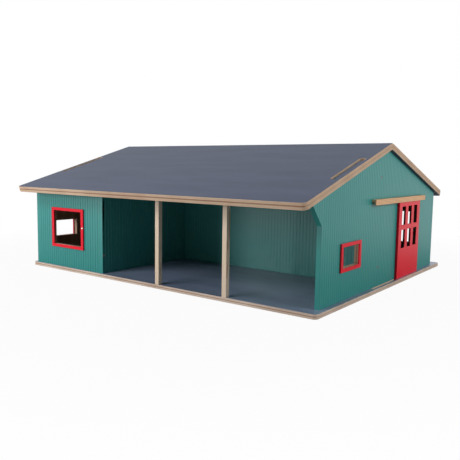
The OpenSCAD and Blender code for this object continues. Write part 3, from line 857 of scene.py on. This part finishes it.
# %% Dress the walls
HOLES = ("front_window", "right_window", "left_window", "rear_window", "doorway")
HOLE_BOXES = [o["box_m"] for o in RECORD["physics"]["openings"] if o["name"] in HOLES]
HOLE_REACH = 4.6 * MM
ROOF_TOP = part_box("front_roof")[1][2]
TAB_BELOW_ROOF = 6 * MM
LEVEL = 0.9                              # cosine above which a face looks up
NEAR_BOTTOM_MM = 0.02


def tab_height(y):
    """Return a height just below a tab's top, at a distance y from the ridge."""
    return ROOF_TOP - abs(y) * ROOF_SLOPE - TAB_BELOW_ROOF


def paint_or_bare(face, outward, depth, thick):
    """Return 1 for bare wood in an opening, 2 for a tab's top, 3 for the inside, 0 for paint."""
    at = face.calc_center_median()
    if abs(face.normal.dot(outward)) > SIDE:
        return 3 if face.normal.dot(outward) < -FLAT else 0
    if face.normal.z > LEVEL and at.z > tab_height(at.y):
        return 2
    in_hole = any(all(low[i] - HOLE_REACH < at[i] < high[i] + HOLE_REACH for i in range(3))
                  for low, high in HOLE_BOXES)
    return 1 if in_hole else 0


def grooves_left(open_mm):
    """Return a function that raises the bottoms of a board's grooves, as thick paint does."""
    def fill(board, outward):
        out_at = max(v.co.dot(outward) for v in board.verts)
        for vert in board.verts:
            depth_mm = (out_at - vert.co.dot(outward)) / MM
            if abs(depth_mm - GROOVE_DEPTH_MM) < NEAR_BOTTOM_MM:
                vert.co += outward * (GROOVE_DEPTH_MM - open_mm) * MM
    return fill


# Each row: the node, where its outer face looks, how deep its grooves are left in mm, and
# what its inside is.
WALL_EASE_MM, WALL_SHORTEST_MM = 0.4, 12
WALLS = (("left_gable", (-1, 0, 0), 0.5, bare_veneer), ("right_gable", (1, 0, 0), 0.42, green_paint),
         ("rear_wall", (0, 1, 0), 0.5, green_paint), ("middle_wall", (0, -1, 0), 0.43, green_paint),
         ("room_partition", (1, 0, 0), 0.5, bare_veneer), ("front_panel", (0, -1, 0), 0.6, bare_veneer))
for node, facing, open_mm, inside in WALLS:
    build_board(node, "painted_" + node, facing, (0, 0, 1), WALL_EASE_MM, WALL_SHORTEST_MM,
                (green_paint, warm_plywood, roof_film, inside), paint_or_bare,
                shape=grooves_left(open_mm))

# %% [markdown]
# ## Red door and window frames
# Lacquer pulls back from a sharp edge, so these pieces are rounded more before they are
# dipped. The panes of the door show only a thin dark edge in the photograph, so their back
# edges are cut away at 45 degrees, and their narrow faces get a near-black colour as painted shade.

# %% Dress the door and the frames
RED_EASE_MM, RED_SHORTEST_MM = 0.6, 2
RED_FRAMES = {"front_window_frame": (0, -1, 0), "right_window_frame": (1, 0, 0),
              "left_window_frame": (-1, 0, 0), "rear_window_frame": (0, 1, 0)}
PANE_CUT_MM = 2.4
PANE_REACH = 3 * MM
FRONT_ROUNDING = 0.2                     # cosine above which a face belongs to the lacquered front
PANE_BOXES = []
for opening in RECORD["physics"]["openings"]:
    if opening["name"].startswith("door_pane"):
        low, high = opening["box_m"]
        PANE_BOXES.append(([c - PANE_REACH for c in low], [c + PANE_REACH for c in high]))


def thin_the_panes(board, outward):
    """Cut the back edges of the panes at 45 degrees."""
    board.normal_update()
    back = min(v.co.dot(outward) for v in board.verts)
    around = [e for e in board.edges
              if all(abs(v.co.dot(outward) - back) < AT_FACE for v in e.verts)
              and e.calc_face_angle_signed(0) > SHARP and not on_outline(board, e, outward)]
    bmesh.ops.bevel(board, geom=around, offset=PANE_CUT_MM * MM, offset_type="OFFSET",
                    segments=1, profile=0.5, affect="EDGES", clamp_overlap=False)
    print("pane edges cut back:", len(around))


def lacquer_or_pane_shade(face, outward, depth, thick):
    """Return 1 for the narrow edges of the panes, which carry painted shade, and 0 for lacquer."""
    if face.normal.dot(outward) > FRONT_ROUNDING or abs(face.normal.dot(outward)) > FLAT:
        return 0
    at = face.calc_center_median()
    in_pane = any(low[1] < at.y < high[1] and low[2] < at.z < high[2] for low, high in PANE_BOXES)
    return 1 if in_pane else 0


build_board("sliding_door", "lacquered_sliding_door", (1, 0, 0), (0, 0, 1), RED_EASE_MM,
            RED_SHORTEST_MM, (red_lacquer, pane_edge_shade), lacquer_or_pane_shade, shape=thin_the_panes)
for node, facing in RED_FRAMES.items():
    build_board(node, "lacquered_" + node, facing, (0, 0, 1), RED_EASE_MM, RED_SHORTEST_MM,
                (red_lacquer,))

# %% [markdown]
# ## Pine posts and rail
# The posts carry the front of the roof, and the rail holds the top of the door. The grain of
# a stick runs along its length: upright in the posts, and from front to back in the rail. The
# same function builds them, because only the material and the way of the grain change.

# %% Dress the posts and the rail
PINE_EASE_MM, PINE_SHORTEST_MM = 0.5, 2
for node, facing, grain, pine in (("left_post", (0, -1, 0), (0, 0, 1), pale_pine),
                                  ("right_post", (0, -1, 0), (0, 0, 1), pale_pine),
                                  ("door_rail", (1, 0, 0), (0, 1, 0), warm_pine)):
    build_board(node, "planed_" + node, facing, grain, PINE_EASE_MM, PINE_SHORTEST_MM, (pine,))

# %% [markdown]
# ## The pin
# A small round-headed pin sits in the right upright of the front window's frame. A whole
# sphere would look like a ball on the frame. The head is only a cap of a larger sphere, so
# its profile is an arc, turned like the screws. The rings go down the arc and then the shank.

# %% Turn the pin
PIN_RISE_MM = 1.6
PIN_SHANK_PART = 0.4
DOME_STEPS, DOME_START = 7, 0.4          # the first ring leaves a small flat on the top


def turned_pin(name, node):
    """Build the pin from its node's box: head towards the front, shank behind."""
    low, high = (Vector(corner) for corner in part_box(node))
    radius, length, rise = (high.x - low.x) / 2, high.y - low.y, PIN_RISE_MM * MM
    ball = (radius ** 2 + rise ** 2) / (2 * rise)
    widest = math.asin(radius / ball)
    mesh = bmesh.new()
    angles = [widest * (i + DOME_START) / (DOME_STEPS + DOME_START) for i in range(DOME_STEPS + 1)]
    rings = [ring(mesh, ball * math.sin(a), rise - ball * (1 - math.cos(a))) for a in angles]
    shank = PIN_SHANK_PART * radius
    rings += [ring(mesh, shank, 0), ring(mesh, shank, -(length - rise - shank)),
              ring(mesh, POINT_PART * shank, -(length - rise))]
    join_rings(mesh, rings)
    mesh.faces.new(reversed(rings[0]))
    mesh.faces.new(rings[-1])
    bmesh.ops.recalc_face_normals(mesh, faces=mesh.faces)
    stand = Vector((0, 0, 1)).rotation_difference(Vector((0, -1, 0))).to_matrix().to_4x4()
    foot = Vector(((low.x + high.x) / 2, low.y + rise, (low.z + high.z) / 2))
    mesh.transform(Matrix.Translation(foot) @ stand)
    made = bpy.data.meshes.new(name)
    mesh.to_mesh(made)
    mesh.free()
    made.materials.append(nickel)
    made.shade_smooth()
    made.set_sharp_from_angle(angle=SMOOTH_BELOW)
    return place_piece(name, made, node)


pin = turned_pin("nickel_frame_pin", "frame_pin")
print("the pin's head is", round(pin.dimensions.x / MM, 1), "mm wide and", PIN_RISE_MM, "mm high")

# %% [markdown]
# ## Floor and background
# The barn stands on a plain pale floor against white. For the camera the floor is almost
# white near the barn, with a faint shadow, and it fades to full white farther off, so it has
# no visible end. Mirror-like surfaces see the lit floor near the barn and the white farther
# off. All other light sees a plain pale floor, so the white makes nothing else brighter.

# %% Lay the floor
FLOOR_HALF, FADE_START, FADE_END = 6.0, 0.5, 1.1
FLOOR_DOWN = -0.2 * MM                   # so that base and floor share no plane
SHADOW_PART = 0.05                       # how much of the lit floor the camera sees near the barn
corners = [(x * FLOOR_HALF, y * FLOOR_HALF, FLOOR_DOWN) for x, y in ((-1, -1), (1, -1), (1, 1), (-1, 1))]
floor_mesh = bpy.data.meshes.new("studio_floor")
floor_mesh.from_pydata(corners, [], [(0, 1, 2, 3)])
floor = bpy.data.objects.new("studio_floor", floor_mesh)
bpy.context.scene.collection.objects.link(floor)
floor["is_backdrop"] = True

pale, tree, shader = new_material("pale_studio_floor")
floor_mesh.materials.append(pale)
shader.inputs["Base Color"].default_value = linear("#b4b4b2")
shader.inputs["Roughness"].default_value = 0.9
rays = add(tree, "ShaderNodeLightPath")
place = add(tree, "ShaderNodeTexCoord").outputs["Object"]
away = add(tree, "ShaderNodeVectorMath", {0: place}, operation="LENGTH")


def part_seen(ray, near_part):
    """Return how much white one kind of ray sees: near_part at the barn, and all of it far off."""
    fade = add(tree, "ShaderNodeMapRange",
               {"Value": away.outputs["Value"], "From Min": FADE_START, "From Max": FADE_END,
                "To Min": near_part, "To Max": 1}, interpolation_type="SMOOTHSTEP")
    return add(tree, "ShaderNodeMath", {0: fade.outputs[0], 1: rays.outputs[ray]}, operation="MULTIPLY")


seen = [part_seen("Is Camera Ray", 1 - SHADOW_PART), part_seen("Is Glossy Ray", 0),
        part_seen("Is Transmission Ray", 0)]
white_part = add(tree, "ShaderNodeMath",
                 {0: seen[0].outputs[0], 1: seen[1].outputs[0]}, operation="MAXIMUM")
white_part = add(tree, "ShaderNodeMath",
                 {0: white_part.outputs[0], 1: seen[2].outputs[0]}, operation="MAXIMUM")
glow = add(tree, "ShaderNodeEmission", {"Color": (1, 1, 1, 1), "Strength": 1})
both = add(tree, "ShaderNodeMixShader",
           {0: white_part.outputs[0], 1: shader.outputs[0], 2: glow.outputs[0]})
tree.links.new(both.outputs[0], tree.nodes["Material Output"].inputs["Surface"])
print("floor half width:", FLOOR_HALF, "m")

# %% [markdown]
# ## Light
# The photograph has the light of a product studio. A low key light near the left end makes
# the front panel the brightest wall. It shines under the eave to the back of the right bay,
# and the partition keeps it from the left bays, which stay dark. A high light from the front
# lights the roof, and a fill light from the right lights the gable. The rear light is for
# views of the back. These two would leave a bright patch on the film of the roof, seen from
# the ends, so gloss doesn't show them. A weak white sky fills the shadows.

# %% Light the studio
SKY_STRENGTH = 0.09
world = bpy.data.worlds.new("studio_sky")
bpy.context.scene.world = world
world.use_nodes = True
sky = world.node_tree
rays = add(sky, "ShaderNodeLightPath")
seen = add(sky, "ShaderNodeMath", {0: rays.outputs["Is Camera Ray"], 1: rays.outputs["Is Glossy Ray"]},
           operation="MAXIMUM")
seen = add(sky, "ShaderNodeMath", {0: seen.outputs[0], 1: rays.outputs["Is Transmission Ray"]},
           operation="MAXIMUM")
strength = add(sky, "ShaderNodeMapRange", {"Value": seen.outputs[0], "To Min": SKY_STRENGTH, "To Max": 1})
sky.nodes["Background"].inputs["Color"].default_value = (1, 1, 1, 1)
sky.links.new(strength.outputs[0], sky.nodes["Background"].inputs["Strength"])


def soft_light(name, place, aim, size, watts, mirrored):
    """Hang a square soft light that looks at a point. mirrored says whether gloss shows it."""
    light = bpy.data.lights.new(name, "AREA")
    light.shape, light.size, light.energy = "SQUARE", size, watts
    lamp = bpy.data.objects.new(name, light)
    lamp.location = place
    lamp.visible_glossy = mirrored
    lamp.rotation_euler = (Vector(aim) - Vector(place)).to_track_quat("-Z", "Y").to_euler()
    bpy.context.scene.collection.objects.link(lamp)


MIDDLE = (0, 0, 0.12)
soft_light("low_key_light", (-0.62, -1.15, 0.3), (-0.15, -0.2, 0.1), 0.3, 5.6, mirrored=True)
soft_light("high_front_light", (-0.4, -2.0, 1.6), MIDDLE, 0.9, 25, mirrored=True)
soft_light("fill_light", (2.1, 0.1, 1.0), MIDDLE, 1.0, 25, mirrored=False)
soft_light("rear_light", (-0.4, 2.4, 1.2), MIDDLE, 1.0, 30, mirrored=False)
print("sky strength:", SKY_STRENGTH)

# %% [markdown]
# ## Finish
# The picture is kept plain: the Standard view shows each colour about as it was chosen. The
# far corner of the dressed barn's box is set against the model's, and the difference is printed.

# %% Check the size and finish
bpy.context.scene.view_settings.view_transform = "Standard"
boxes = {"model": MODEL_BOX, "dressed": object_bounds()}
change_mm = [(dressed - model) / MM for model, dressed in zip(MODEL_BOX[1], boxes["dressed"][1])]
print("the dressed barn's far corner differs by", [round(c, 2) for c in change_mm], "mm")
